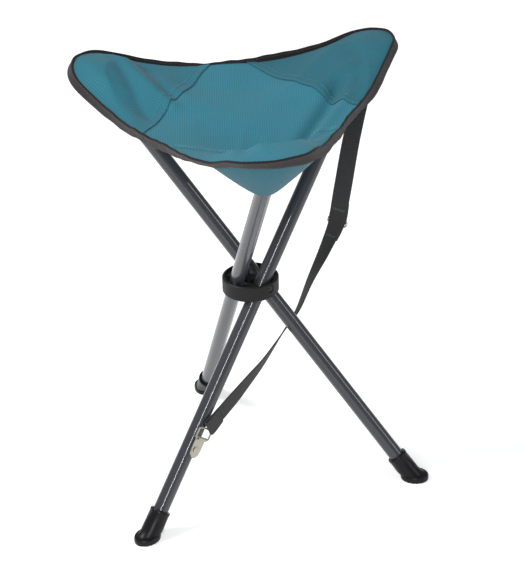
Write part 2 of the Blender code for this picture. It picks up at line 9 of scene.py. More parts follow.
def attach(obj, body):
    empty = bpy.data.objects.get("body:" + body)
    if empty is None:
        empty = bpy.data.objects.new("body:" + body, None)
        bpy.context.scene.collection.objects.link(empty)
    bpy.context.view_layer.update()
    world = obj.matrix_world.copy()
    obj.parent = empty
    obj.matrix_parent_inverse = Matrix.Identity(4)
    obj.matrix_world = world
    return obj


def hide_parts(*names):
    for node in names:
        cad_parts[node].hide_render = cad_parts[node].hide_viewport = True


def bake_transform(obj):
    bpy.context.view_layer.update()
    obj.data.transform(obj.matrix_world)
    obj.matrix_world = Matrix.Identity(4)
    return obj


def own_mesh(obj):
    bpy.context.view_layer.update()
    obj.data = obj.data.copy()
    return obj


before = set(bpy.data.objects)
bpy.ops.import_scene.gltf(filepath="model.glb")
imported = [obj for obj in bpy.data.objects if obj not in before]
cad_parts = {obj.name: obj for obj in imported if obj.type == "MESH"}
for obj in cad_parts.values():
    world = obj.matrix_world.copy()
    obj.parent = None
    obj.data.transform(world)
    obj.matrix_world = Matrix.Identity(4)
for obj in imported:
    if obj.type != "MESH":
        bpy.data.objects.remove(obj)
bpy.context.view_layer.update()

# Camera, fitted to the tubes' edges

CAMERA_PLACE = (-0.26724295, -1.71755903, 1.1543701)
CAMERA_RIGHT = (0.98564746, -0.16692448, -0.02520507)
CAMERA_UP = (0.10035646, 0.4593119, 0.88258776)
CAMERA_BACK = (-0.13574851, -0.87244988, 0.46947156)
FOCAL_PX = 1895.47
IMAGE_WIDTH = 525
IMAGE_HEIGHT = 570
CENTRE_X = 250.53
CENTRE_Y = 280.04


def add_camera():
    data = bpy.data.cameras.new("camera")
    data.sensor_fit = "AUTO"
    data.sensor_width = 36.0
    longest = max(IMAGE_WIDTH, IMAGE_HEIGHT)
    data.lens = FOCAL_PX * data.sensor_width / longest
    data.shift_x = (IMAGE_WIDTH / 2 - CENTRE_X) / longest
    data.shift_y = (CENTRE_Y - IMAGE_HEIGHT / 2) / longest
    data.clip_start = 0.05
    data.clip_end = 60.0
    camera = bpy.data.objects.new("camera", data)
    bpy.context.scene.collection.objects.link(camera)
    turned = Matrix((CAMERA_RIGHT, CAMERA_UP, CAMERA_BACK)).transposed().to_4x4()
    camera.matrix_world = Matrix.Translation(CAMERA_PLACE) @ turned
    bpy.context.scene.camera = camera


add_camera()

# The stool's own dimensions, in metres

LEGS = ("a", "b", "c")
CORNER_AZIMUTH = {"a": 150.0, "b": 30.0, "c": 270.0}
TILT = math.radians(37.0)
HUB_Z = 0.2301
PIN_CIRCLE = 0.0149
TUBE_RADIUS = 0.008
TUBE_WALL = 0.001
TUBE_TOP = 0.2652
TUBE_BOTTOM = -0.272
TOP_OFFSET = math.degrees(math.atan2(PIN_CIRCLE, TUBE_TOP * math.sin(TILT)))
CORNER_CENTRE = 0.1508
CORNER_RADIUS = 0.0414
SIDE_INSET = 0.004
RIM_Z = 0.4527
RIM_SAG = 0.0252
SEAT_MID_Z = 0.418
CORNER_FLAT = 0.19
SEAM_DISTANCE = 0.0735
CLOTH = 0.0011
SEAM_LAP = 0.004
SEAM_RAISE = 0.0014
BINDING_HEIGHT = 0.012
BINDING_THICKNESS = 0.0026
TAPE_THICKNESS = 0.0007
STITCH_PITCH = 0.0026


def pin_azimuth(leg):
    return math.radians(CORNER_AZIMUTH[leg] - 90 + TOP_OFFSET)


def leg_matrix(leg):
    """Local Z up the tube, local X out along the pin, local Y away from the seat's middle."""
    return (
        Matrix.Translation((0, 0, HUB_Z))
        @ Matrix.Rotation(pin_azimuth(leg), 4, "Z")
        @ Matrix.Translation((PIN_CIRCLE, 0, 0))
        @ Matrix.Rotation(-TILT, 4, "X")
    )


# Mesh helpers, with the angle in degrees above which an edge stays sharp

SMOOTHING = 35.0
BOOT_SMOOTHING = 40.0
WOVEN_SMOOTHING = 50.0
THREAD_SMOOTHING = 60.0
CLOTH_SMOOTHING = 60.0


def mesh_object(name, verts, faces, material, smooth_angle=SMOOTHING, uvs=None):
    mesh = bpy.data.meshes.new(name)
    mesh.from_pydata([tuple(v) for v in verts], [], [tuple(f) for f in faces])
    if uvs is not None:
        layer = mesh.uv_layers.new(name="along_across")
        for loop in mesh.loops:
            layer.data[loop.index].uv = uvs[loop.vertex_index]
    mesh.validate()
    mesh.shade_smooth()
    mesh.set_sharp_from_angle(angle=math.radians(smooth_angle))
    mesh.materials.append(material)
    obj = bpy.data.objects.new(name, mesh)
    bpy.context.scene.collection.objects.link(obj)
    return obj


def grid_faces(rows, columns, closed=False, flip=False):
    """Quads of a rows by columns grid of points; closed joins the last column to the first."""
    faces = []
    for row in range(rows - 1):
        for column in range(columns if closed else columns - 1):
            after = (column + 1) % columns
            face = (
                row * columns + column,
                row * columns + after,
                (row + 1) * columns + after,
                (row + 1) * columns + column,
            )
            faces.append(face[::-1] if flip else face)
    return faces


def capped_faces(rows, count):
    """Quads of a run of closed rings of points, with one face over each end."""
    faces = grid_faces(rows, count, closed=True)
    faces.append(tuple(range(count)))
    faces.append(tuple(reversed(range((rows - 1) * count, rows * count))))
    return faces


def lathe(name, profile, matrix, material, segments):
    """A surface turned about local Z from (radius, height) points."""
    verts = []
    for radius, height in profile:
        for step in range(segments):
            angle = 2 * math.pi * step / segments
            place = Vector((radius * math.cos(angle), radius * math.sin(angle), height))
            verts.append(matrix @ place)
    faces = grid_faces(len(profile), segments, closed=True)
    obj = mesh_object(name, verts, faces, material)
    tidy(obj)
    return obj


def curve_weights(t):
    """A Catmull-Rom curve's weights of its four nearest rows, a share t of the way along."""
    return (
        -t / 2 + t * t - t**3 / 2,
        1 - 2.5 * t * t + 1.5 * t**3,
        t / 2 + 2 * t * t - 1.5 * t**3,
        -t * t / 2 + t**3 / 2,
    )


def turned_out(obj):
    """Faces all turned outwards, with every point kept."""
    bm = bmesh.new()
    bm.from_mesh(obj.data)
    bmesh.ops.recalc_face_normals(bm, faces=bm.faces)
    bm.to_mesh(obj.data)
    bm.free()


def tidy(obj, distance=1e-6):
    """Points closer than distance joined, and faces all turned outwards."""
    bm = bmesh.new()
    bm.from_mesh(obj.data)
    bmesh.ops.remove_doubles(bm, verts=bm.verts, dist=distance)
    bmesh.ops.dissolve_degenerate(bm, edges=bm.edges, dist=distance)
    bmesh.ops.recalc_face_normals(bm, faces=bm.faces)
    bm.to_mesh(obj.data)
    bm.free()


# Materials

NOISE_ROUGHNESS = 0.55
RIPSTOP_PITCH = 0.0023
CLOTH_THREAD_PITCH = 0.00077
TAPE_THREAD_PITCH = 0.0011


class Nodes:
    """Builds one material's node tree."""

    def __init__(self, name):
        self.material = bpy.data.materials.new(name)
        self.material.use_nodes = True
        self.tree = self.material.node_tree
        self.shader = self.tree.nodes["Principled BSDF"]
        self.coordinates = self.add("ShaderNodeTexCoord")

    def add(self, kind, **settings):
        node = self.tree.nodes.new(kind)
        for key, value in settings.items():
            setattr(node, key, value)
        return node

    def link(self, source, target):
        self.tree.links.new(source, target)

    def feed(self, target, value):
        if isinstance(value, bpy.types.NodeSocket):
            self.link(value, target)
        else:
            target.default_value = value

    def set(self, **values):
        for key, value in values.items():
            self.shader.inputs[key.replace("_", " ")].default_value = value

    def times(self, *values):
        return self.math("MULTIPLY", *values)

    def math(self, operation, *values):
        node = self.add("ShaderNodeMath", operation=operation)
        for socket, value in zip(node.inputs, values):
            self.feed(socket, value)
        return node.outputs[0]

    def place(self, source="Object", rotation=0.0):
        node = self.add("ShaderNodeMapping")
        node.inputs["Rotation"].default_value = (0, 0, math.radians(rotation))
        self.link(self.coordinates.outputs[source], node.inputs["Vector"])
        return node.outputs["Vector"]

    def axes(self, vector):
        node = self.add("ShaderNodeSeparateXYZ")
        self.link(vector, node.inputs[0])
        return node.outputs

    def noise(self, vector, scale, detail):
        node = self.add("ShaderNodeTexNoise")
        self.link(vector, node.inputs["Vector"])
        node.inputs["Scale"].default_value = scale
        node.inputs["Detail"].default_value = detail
        node.inputs["Roughness"].default_value = NOISE_ROUGHNESS
        return node.outputs["Fac"]

    def spread(self, value, low, high):
        node = self.add("ShaderNodeMapRange")
        self.feed(node.inputs["Value"], value)
        node.inputs["To Min"].default_value = low
        node.inputs["To Max"].default_value = high
        return node.outputs["Result"]

    def wave(self, value, pitch):
        """A sine of that pitch in metres, from 0 to 1."""
        turned = self.times(value, 2 * math.pi / pitch)
        return self.math("MULTIPLY_ADD", self.math("SINE", turned), 0.5, 0.5)

    def mix(self, factor, first, second):
        node = self.add("ShaderNodeMix", data_type="RGBA")
        self.feed(node.inputs[0], factor)
        self.feed(node.inputs[6], first)
        self.feed(node.inputs[7], second)
        return node.outputs[2]

    def bump(self, height, distance, strength=1.0, after=None):
        node = self.add("ShaderNodeBump")
        node.inputs["Distance"].default_value = distance
        node.inputs["Strength"].default_value = strength
        self.link(height, node.inputs["Height"])
        if after is not None:
            self.link(after, node.inputs["Normal"])
        return node.outputs["Normal"]

    def colour(self, value):
        self.feed(self.shader.inputs["Base Color"], value)

    def roughness(self, value):
        self.feed(self.shader.inputs["Roughness"], value)

    def normal(self, value):
        self.link(value, self.shader.inputs["Normal"])


def scaled(colour, amount):
    return tuple(channel * amount for channel in colour)


def tone(colour, amount):
    return (*scaled(colour, amount), 1.0)


def cloth_material(name, rotation, colour):
    """Ripstop: a fine plain weave with a raised thread every couple of millimetres both ways."""
    n = Nodes(name)
    place = n.place(rotation=rotation)
    x, y, _ = n.axes(place)
    wide = n.wave(x, RIPSTOP_PITCH)
    long = n.wave(y, RIPSTOP_PITCH)
    thread = n.times(wide, long)
    fine = n.times(n.wave(x, CLOTH_THREAD_PITCH), n.wave(y, CLOTH_THREAD_PITCH))
    cloudy = n.noise(place, 22.0, 4.0)
    mottled = n.noise(place, 900.0, 2.0)
    shade = n.spread(cloudy, 0.25, 0.75)
    base = n.mix(shade, tone(colour, 0.90), tone(colour, 1.10))
    woven = n.mix(n.math("SUBTRACT", 1.0, thread), base, tone(colour, 0.66))
    crossing = n.times(thread, fine)
    lit = n.mix(n.times(crossing, 0.9), woven, tone(colour, 1.7))
    n.colour(n.mix(n.spread(mottled, 0.0, 0.35), lit, tone(colour, 1.5)))
    n.roughness(n.spread(mottled, 0.72, 0.92))
    height = n.math("ADD", n.times(thread, 0.8), n.times(fine, 0.5))
    n.normal(n.bump(height, 0.00022, 0.6, n.bump(cloudy, 0.0012, 0.35)))
    n.set(Sheen_Weight=0.08, Sheen_Roughness=0.45, Specular_IOR_Level=0.15)
    return n.material


def tape_material(name, colour, rib, grit_share, middle=0.0, half=1.0):
    """Woven tape: ribs across its length, finer threads along it, and painted shade darkening it
    towards its edges.
    """
    n = Nodes(name)
    along, across, _ = n.axes(n.place("UV"))
    ribs = n.wave(along, rib)
    threads = n.wave(across, TAPE_THREAD_PITCH)
    object_place = n.place()
    cloudy = n.noise(object_place, 45.0, 4.0)
    grit = n.noise(object_place, 1400.0, 2.0)
    weave = n.times(ribs, n.spread(threads, 0.55, 1.0))
    base = n.mix(n.spread(cloudy, 0.2, 0.8), tone(colour, 0.82), tone(colour, 1.15))
    woven = n.mix(n.times(weave, 0.55), base, tone(colour, 1.6))
    flecked = n.mix(n.spread(grit, 0.0, grit_share), woven, tone(colour, 0.5))
    # Painted shade: the colour darkens towards both edges across the tape.
    off = n.math("ABSOLUTE", n.math("SUBTRACT", across, middle))
    edge = n.math("POWER", n.math("MINIMUM", 1.0, n.math("DIVIDE", off, half)), 6.0)
    n.colour(n.mix(n.times(edge, 0.75), flecked, tone(colour, 0.3)))
    n.roughness(n.spread(grit, 0.75, 0.95))
    n.normal(n.bump(weave, 0.0002, 0.8, n.bump(cloudy, 0.0008, 0.3)))
    n.set(Sheen_Weight=0.06, Sheen_Roughness=0.5, Specular_IOR_Level=0.15)
    return n.material


def thread_material(name, colour):
    n = Nodes(name)
    place = n.place()
    grit = n.noise(place, 2500.0, 2.0)
    n.colour(n.mix(grit, tone(colour, 0.75), tone(colour, 1.25)))
    n.roughness(n.spread(grit, 0.45, 0.7))
    n.normal(n.bump(grit, 0.0001, 0.5))
    return n.material


def tube_material(name, colour):
    """Baked coating on drawn steel: faint lines along the tube, a clear gloss over them."""
    n = Nodes(name)
    place = n.place()
    grain = n.noise(place, 700.0, 3.0)
    cloudy = n.noise(place, 18.0, 3.0)
    base = n.mix(cloudy, tone(colour, 0.88), tone(colour, 1.12))
    n.colour(n.mix(n.times(grain, 0.5), base, tone(colour, 1.35)))
    n.roughness(n.spread(grain, 0.34, 0.46))
    n.normal(n.bump(grain, 0.00002, 0.4))
    n.set(Metallic=0.0, Specular_IOR_Level=0.12, Coat_Weight=0.75, Coat_Roughness=0.03)
    return n.material


def moulded_material(name, colour, low, high, gloss, grain_depth):
    """Moulded plastic or rubber: fine spark-eroded grain, with polished patches where it rubs."""
    n = Nodes(name)
    place = n.place()
    grain = n.noise(place, 1500.0, 2.0)
    worn = n.noise(place, 60.0, 4.0)
    n.colour(n.mix(worn, tone(colour, 0.8), tone(colour, 1.3)))
    n.roughness(n.spread(worn, low, high))
    n.normal(n.bump(grain, grain_depth, 0.6, n.bump(worn, 0.0003, 0.25)))
    n.set(Specular_IOR_Level=gloss)
    return n.material


def metal_material(name, colour, low, high):
    n = Nodes(name)
    place = n.place()
    grain = n.noise(place, 600.0, 3.0)
    stain = n.noise(place, 90.0, 4.0)
    n.colour(n.mix(stain, tone(colour, 0.7), tone(colour, 1.1)))
    n.roughness(n.spread(grain, low, high))
    n.normal(n.bump(grain, 0.00006, 0.5))
    n.set(Metallic=1.0)
    return n.material


TEAL = (0.030, 0.176, 0.238)
CLOTH_CENTRE = cloth_material("seat_cloth_centre", 8.0, TEAL)
# Corners a and b are the same teal cloth darkened to 0.84 and 0.70 as painted shade. Corner c keeps
# the plain teal.
CLOTH_CORNER = {
    "a": cloth_material("seat_cloth_corner_a_painted_shade", -32.0, scaled(TEAL, 0.84)),
    "b": cloth_material("seat_cloth_corner_b_painted_shade", 28.0, scaled(TEAL, 0.70)),
    "c": cloth_material("seat_cloth_corner_c", 3.0, TEAL),
}
# The pocket is the same teal cloth darkened to 0.54 as painted shade, for the light it lacks under
# the rim.
POCKET_CLOTH_SHADED = cloth_material("pocket_cloth_painted_shade", 41.0, scaled(TEAL, 0.54))
# The binding's painted edge shade is centred across its height on HALF_TAPE.
HALF_TAPE = BINDING_HEIGHT / 2
BINDING = tape_material("binding_tape", (0.024, 0.0205, 0.0225), 0.0024, 0.55, HALF_TAPE, HALF_TAPE)
BINDING_THREAD = thread_material("binding_thread", (0.075, 0.064, 0.068))
WEBBING = tape_material("strap_webbing", (0.033, 0.033, 0.034), 0.0019, 0.35)
SEAM_THREAD = thread_material("seam_thread", (0.060, 0.240, 0.300))
PALE_THREAD = thread_material("pale_thread", (0.11, 0.34, 0.41))
DARK_THREAD = thread_material("dark_thread", (0.15, 0.15, 0.15))
TUBE_COAT = tube_material("tube_coat", (0.025, 0.0267, 0.0335))
HUB_PLASTIC = moulded_material("hub_plastic", (0.009, 0.009, 0.0086), 0.38, 0.55, 0.16, 0.00008)
BOOT_RUBBER = moulded_material("boot_rubber", (0.004, 0.004, 0.005), 0.30, 0.42, 0.18, 0.00006)
NICKEL = metal_material("clip_nickel", (0.40, 0.385, 0.32), 0.28, 0.44)
SCREW = metal_material("screw_steel", (0.035, 0.035, 0.035), 0.30, 0.50)
CAD_MATERIALS = {
    "hub_body": HUB_PLASTIC,
    "clip_plate": NICKEL,
    "clip_rivet": NICKEL,
    "clip_ring": NICKEL,
}
for LEG in LEGS:
    CAD_MATERIALS[f"pivot_screw_{LEG}"] = SCREW
    CAD_MATERIALS[f"top_plug_{LEG}"] = HUB_PLASTIC
for NODE, FINISH in CAD_MATERIALS.items():
    NODE_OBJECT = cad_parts[NODE]
    NODE_OBJECT.data.materials.clear()
    NODE_OBJECT.data.materials.append(FINISH)

# Carrying strap and its link

STRAP_ROUTE = (
    (0.0000, 0.1893, 0.4500, 2),
    (0.0000, 0.1735, 0.4280, 4),
    (0.0000, 0.1600, 0.4060, 5),
    (0.0000, 0.1400, 0.3520, 15),
    (0.0000, 0.1246, 0.2939, 20),
    (0.0000, 0.1150, 0.2610, 12),
    (0.0000, 0.0964, 0.2332, -10),
    (0.0000, 0.0736, 0.2060, -30),
    (-0.0020, 0.0561, 0.1766, -40),
    (-0.0020, 0.0359, 0.1606, -50),
    (0.0030, -0.0005, 0.1406, -65),
    (0.0060, -0.0276, 0.1292, -78),
    (0.0085, -0.0548, 0.1180, -88),
    (0.0105, -0.0823, 0.1071, -92),
    (0.0106, -0.0915, 0.1035, -92),
)
STRAP_JOIN = 5
STRAP_STEPS = 12
STRAP_THICKNESS = 0.0014
STRAP_UPPER_WIDTH = 0.020
STRAP_LOWER_WIDTH = 0.018
LINK_WIDTH = 0.0225
LINK_ASIDE = 0.0008
LINK_HALF = 0.0031
LINK_GAP = 0.0013
LINK_BACK = 0.0012
HEM_LENGTH = 0.018
HEM_CLEARANCE = 0.0002
HEM_SEWN_AT = 0.014
WIRE_RADIUS = 0.001
WIRE_BEND = 0.0022
BAR_INSET = 0.0022
BAR_PITCH = 0.0024
BAR_ROW_HALF_GAP = 0.0007


def strap_axes():
    pin = pin_azimuth("b")
    return Vector((math.cos(pin), math.sin(pin), 0)), Vector((-math.sin(pin), math.cos(pin), 0))


def strap_point(row):
    out, heading = strap_axes()
    return out * (PIN_CIRCLE + row[0]) + heading * row[1] + Vector((0, 0, row[2]))


def smooth_route(rows, steps):
    """Points and twists along a Catmull-Rom curve through the rows, as (point, degrees)."""
    found = []
    for index in range(len(rows) - 1):
        keys = [rows[max(0, min(len(rows) - 1, index + shift))] for shift in (-1, 0, 1, 2)]
        places = [strap_point(key) for key in keys]
        for step in range(steps):
            weights = curve_weights(step / steps)
            place = sum((p * w for p, w in zip(places, weights)), Vector((0, 0, 0)))
            twist = sum(key[3] * w for key, w in zip(keys, weights))
            found.append((place, twist))
    found.append((strap_point(rows[-1]), rows[-1][3]))
    return found


def width_direction(tangent, twist):
    out, _ = strap_axes()
    flat = (out - tangent * out.dot(tangent)).normalized()
    other = flat.cross(tangent).normalized()
    angle = math.radians(twist)
    return flat * math.cos(angle) + other * math.sin(angle)


def stations(path):
    """(point, tangent, width direction, face normal) at each point of a (point, twist) path."""
    found = []
    for index, (place, twist) in enumerate(path):
        before = path[max(0, index - 1)][0]
        after = path[min(len(path) - 1, index + 1)][0]
        tangent = (after - before).normalized()
        wide = width_direction(tangent, twist)
        found.append((place, tangent, wide, tangent.cross(wide)))
    return found


def webbing(name, stations_list, width, material):
    """A woven band with rounded edges, swept along (point, tangent, width direction) rows."""
    half = width / 2
    thick = STRAP_THICKNESS / 2
    shares = (1, 0.6, 0.2, -0.2, -0.6, -1)
    section = [(half, 0.0)]
    for side in (1, -1):
        section += [(side * (half - 0.0003), side * thick * 0.8)]
        section += [(side * (half - 0.0010) * share, side * thick) for share in shares]
        section += [(-side * (half - 0.0003), side * thick * 0.8), (-side * half, 0.0)]
    section = section[:-1]
    verts = []
    uvs = []
    travelled = 0.0
    last = None
    for place, tangent, wide in stations_list:
        travelled += (place - last).length if last is not None else 0.0
        last = place
        face = tangent.cross(wide).normalized()
        for across, off in section:
            verts.append(place + wide * across + face * off)
            uvs.append((travelled, across))
    count = len(section)
    rows = len(stations_list)
    obj = mesh_object(name, verts, capped_faces(rows, count), material, WOVEN_SMOOTHING, uvs)
    turned_out(obj)
    return obj


def cut_path(path, start, end):
    """The path without its first start and last end metres."""
    for amount, order in ((start, 1), (end, -1)):
        path = path[::order]
        while (path[1][0] - path[0][0]).length < amount:
            amount -= (path[1][0] - path[0][0]).length
            path = path[1:]
        if amount > 0:
            part = amount / (path[1][0] - path[0][0]).length
            path = [(path[0][0].lerp(path[1][0], part), path[0][1]), *path[1:]]
        path = path[::order]
    return path


def hem(name, line, forward, width):
    """The webbing's last few centimetres, turned round its wire and sewn back on itself."""
    radius = WIRE_RADIUS + STRAP_THICKNESS / 2 + HEM_CLEARANCE
    ordered = line if forward else line[::-1]
    way = 1 if forward else -1
    place, tangent, wide, face = ordered[-1]
    found = []
    for step in range(9):
        angle = math.pi * step / 8
        ahead = tangent * (way * radius * math.sin(angle))
        at = place + ahead + face * (radius * math.cos(angle) - radius)
        turned = tangent * way * math.cos(angle) - face * math.sin(angle)
        found.append((at, turned.normalized(), wide))
    back = 0.0
    for first, second in zip(ordered[::-1], ordered[-2::-1]):
        back += (first[0] - second[0]).length
        ease = max(0.0, 1 - back / HEM_LENGTH)
        depth = 2 * radius * ease + (STRAP_THICKNESS + 0.0001) * (1 - ease)
        found.append((second[0] - second[3] * depth, second[1] * -way, second[2]))
        if back > HEM_LENGTH:
            break
    return webbing(name, found, width, WEBBING)


def stitch_bar(name, line, at, width):
    """Two rows of stitches across a webbing, on both faces, at metres from the line's start."""
    travelled = 0.0
    for first, second in zip(line, line[1:]):
        travelled += (second[0] - first[0]).length
        if travelled >= at:
            break
    place, tangent, wide, face = second
    count = int((width - 2 * BAR_INSET) / BAR_PITCH)
    spots = []
    for side, row in ((1, -1), (1, 1), (-1, -1), (-1, 1)):
        for step in range(count):
            across = (step - (count - 1) / 2) * BAR_PITCH
            offset = STRAP_THICKNESS / 2 if side > 0 else STRAP_THICKNESS * 1.6
            row_way = tangent * (row * BAR_ROW_HALF_GAP)
            spot = place + wide * across + row_way + face * (side * offset)
            spots.append((spot, wide, face * side))
    return stitches(name, spots, DARK_THREAD)


def stitches(name, spots, material, length=0.0019, radius=0.00028):
    """Small raised threads at (point, direction, normal) spots."""
    ring = 6
    rows = ((-0.5, 0.15), (-0.3, 0.85), (0.0, 1.0), (0.3, 0.85), (0.5, 0.15))
    verts = []
    faces = []
    for place, way, normal in spots:
        side = way.cross(normal).normalized()
        base = len(verts)
        for along, share in rows:
            for step in range(ring):
                angle = 2 * math.pi * step / ring
                verts.append(
                    place
                    + way * (along * length)
                    + side * (radius * share * math.cos(angle))
                    + normal * (radius * share * math.sin(angle))
                )
        faces += [tuple(base + i for i in face) for face in grid_faces(len(rows), ring, True)]
        faces.append(tuple(base + i for i in reversed(range(ring))))
        faces.append(tuple(base + (len(rows) - 1) * ring + i for i in range(ring)))
    obj = mesh_object(name, verts, faces, material, THREAD_SMOOTHING)
    turned_out(obj)
    return obj


def wire_rectangle(name, width, depth, matrix, material):
    """A closed rectangle of round wire in its own XY plane, with bent corners."""
    curve = bpy.data.curves.new(name, "CURVE")
    curve.dimensions = "3D"
    curve.bevel_depth = WIRE_RADIUS
    curve.bevel_resolution = 5
    spline = curve.splines.new("POLY")
    points = []
    for index, (sx, sy) in enumerate(((1, 1), (-1, 1), (-1, -1), (1, -1))):
        for step in range(9):
            angle = math.radians(90 * index + 11.25 * step)
            x = sx * (width / 2 - WIRE_BEND) + WIRE_BEND * math.cos(angle)
            y = sy * (depth / 2 - WIRE_BEND) + WIRE_BEND * math.sin(angle)
            points.append((x, y, 0.0))
    spline.points.add(len(points) - 1)
    for point, place in zip(spline.points, points):
        point.co = (*place, 1.0)
    spline.use_cyclic_u = True
    curve.materials.append(material)
    obj = bpy.data.objects.new(name, curve)
    bpy.context.scene.collection.objects.link(obj)
    obj.matrix_world = matrix
    return obj


def line_length(line):
    return sum((b[0] - a[0]).length for a, b in zip(line, line[1:]))


def make_strap():
    whole = smooth_route(STRAP_ROUTE, STRAP_STEPS)
    join = STRAP_JOIN * STRAP_STEPS
    upper_line = stations(cut_path(whole[: join + 1], 0.0, LINK_GAP))
    lower_line = stations(cut_path(whole[join:], LINK_GAP, 0.0))
    upper = webbing("webbing_upper", [s[:3] for s in upper_line], STRAP_UPPER_WIDTH, WEBBING)
    lower = webbing("webbing_lower", [s[:3] for s in lower_line], STRAP_LOWER_WIDTH, WEBBING)
    hems = [
        hem("webbing_upper_hem", upper_line, True, STRAP_UPPER_WIDTH),
        hem("webbing_lower_hem", lower_line, False, STRAP_LOWER_WIDTH),
        hem("webbing_end_hem", lower_line, True, STRAP_LOWER_WIDTH),
    ]
    upper_length = line_length(upper_line)
    lower_length = line_length(lower_line)
    upper_sewn_at = upper_length - HEM_SEWN_AT
    end_sewn_at = lower_length - HEM_SEWN_AT
    sewn = [
        stitch_bar("webbing_upper_sewing", upper_line, upper_sewn_at, STRAP_UPPER_WIDTH),
        stitch_bar("webbing_lower_sewing", lower_line, HEM_SEWN_AT, STRAP_LOWER_WIDTH),
        stitch_bar("webbing_end_sewing", lower_line, end_sewn_at, STRAP_LOWER_WIDTH),
    ]
    place, tangent, wide, _ = stations(whole)[join]
    columns = Matrix((wide, tangent, wide.cross(tangent))).transposed().to_4x4()
    link = wire_rectangle(
        "link_wire",
        LINK_WIDTH,
        2 * LINK_HALF,
        Matrix.Translation(place + wide * LINK_ASIDE - tangent.cross(wide) * LINK_BACK) @ columns,
        NICKEL,
    )
    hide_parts("strap_upper")
    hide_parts("strap_lower")
    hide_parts("strap_link")
    for piece in (upper, lower, link, *hems, *sewn):
        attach(piece, "leg_b")


make_strap()

# Seat: the rim's line, then the sling's surface as a height over the ground plan


def smoothed(values, reach):
    """A closed run of samples softened by a Gaussian whose width is reach samples."""
    steps = np.arange(-int(3 * reach), int(3 * reach) + 1)
    weights = np.exp(-0.5 * (steps / reach) ** 2)
    weights /= weights.sum()
    return sum(w * np.roll(values, s) for s, w in zip(steps, weights))


# The rim's own unevenness, every 15 degrees from azimuth 0: how far in and how far down the
# tape's top lies (mm), how it leans (degrees, foot inwards), how deep the cloth is sewn (mm)
RIM_SHAPE = (
    (0.5, -7.2, -14, 3.0),
    (3.4, -6.3, -12, 2.5),
    (7.9, -6.6, -32, 2.0),
    (7.6, -0.6, -11, 4.0),
    (2.6, -2.3, -10, 7.0),
    (-0.1, -2.3, -10, 5.5),
    (-1.4, -1.6, -10, 2.5),
    (-2.1, -0.1, -10, 2.5),
    (-2.2, -0.8, -10, 5.0),
    (-1.5, -0.1, -13, 4.0),
    (8.0, -3.1, -30, 1.5),
    (7.2, 8.0, -3, 2.0),
    (4.2, 8.5, 11, 3.0),
    (-0.5, 4.9, 20, 3.0),
    (-1.4, 3.6, 22, 3.0),
    (-4.3, 2.6, 28, 3.0),
    (-10.4, 3.6, 45, 2.5),
    (-9.1, 5.5, 50, 2.0),
    (-5.9, -2.6, 31, 2.0),
    (-1.0, 0.3, 2, 2.5),
    (1.2, -3.0, 3, 3.0),
    (3.2, -2.4, 6, 3.0),
    (3.6, -4.5, 11, 3.5),
    (1.0, -4.9, 10, 3.5),
)


def rim_outline(spacing=0.0005):
    """The seat's edge, anticlockwise from azimuth 0, evenly spaced: x, y, z."""
    xs, ys, zs = [], [], []
    for azimuth in (30.0, 150.0, 270.0):
        axis = math.radians(azimuth)
        cx = CORNER_CENTRE * math.cos(axis)
        cy = CORNER_CENTRE * math.sin(axis)
        for step in range(97):
            angle = axis + math.radians(-60 + 120 * step / 96)
            xs.append(cx + CORNER_RADIUS * math.cos(angle))
            ys.append(cy + CORNER_RADIUS * math.sin(angle))
            zs.append(RIM_Z)
        out = axis + math.radians(60)
        following = axis + math.radians(120)
        start = (xs[-1], ys[-1])
        end = (
            CORNER_CENTRE * math.cos(following) + CORNER_RADIUS * math.cos(out),
            CORNER_CENTRE * math.sin(following) + CORNER_RADIUS * math.sin(out),
        )
        for step in range(1, 260):
            t = 2 * step / 260 - 1
            bow = 1 - t * t
            part = (t + 1) / 2
            xs.append(start[0] + (end[0] - start[0]) * part - SIDE_INSET * bow * math.cos(out))
            ys.append(start[1] + (end[1] - start[1]) * part - SIDE_INSET * bow * math.sin(out))
            zs.append(RIM_Z - RIM_SAG * bow)
    points = np.array([xs, ys, zs]).T
    closed = np.vstack([points, points[:1]])
    length = np.concatenate([[0], np.cumsum(np.linalg.norm(np.diff(closed, axis=0), axis=1))])
    count = int(length[-1] / spacing)
    at = np.linspace(0, length[-1], count, endpoint=False)
    even = np.array([np.interp(at, length, closed[:, axis]) for axis in range(3)])
    even[0] = smoothed(even[0], 0.004 / spacing)
    even[1] = smoothed(even[1], 0.004 / spacing)
    even[2] = smoothed(even[2], 0.009 / spacing)
    return even


EVEN = rim_outline()
EVEN_AZIMUTH = np.arctan2(EVEN[1], EVEN[0])
EVEN_REACH = np.hypot(EVEN[0], EVEN[1])


def around(azimuth, samples_azimuth, samples):
    """Samples round the seat, read at other azimuths."""
    order = np.argsort(samples_azimuth)
    return np.interp(azimuth, samples_azimuth[order], samples[order], period=2 * math.pi)


def shaped(azimuth, column):
    """One column of RIM_SHAPE as a smooth periodic function of azimuth."""
    rows = np.array([row[column] for row in RIM_SHAPE], float)
    pitch = 2 * math.pi / len(rows)
    at = np.mod(azimuth, 2 * math.pi) / pitch
    index = np.floor(at).astype(int)
    t = at - index
    keys = [rows[(index + shift) % len(rows)] for shift in (-1, 0, 1, 2)]
    return sum(key * weight for key, weight in zip(keys, curve_weights(t)))


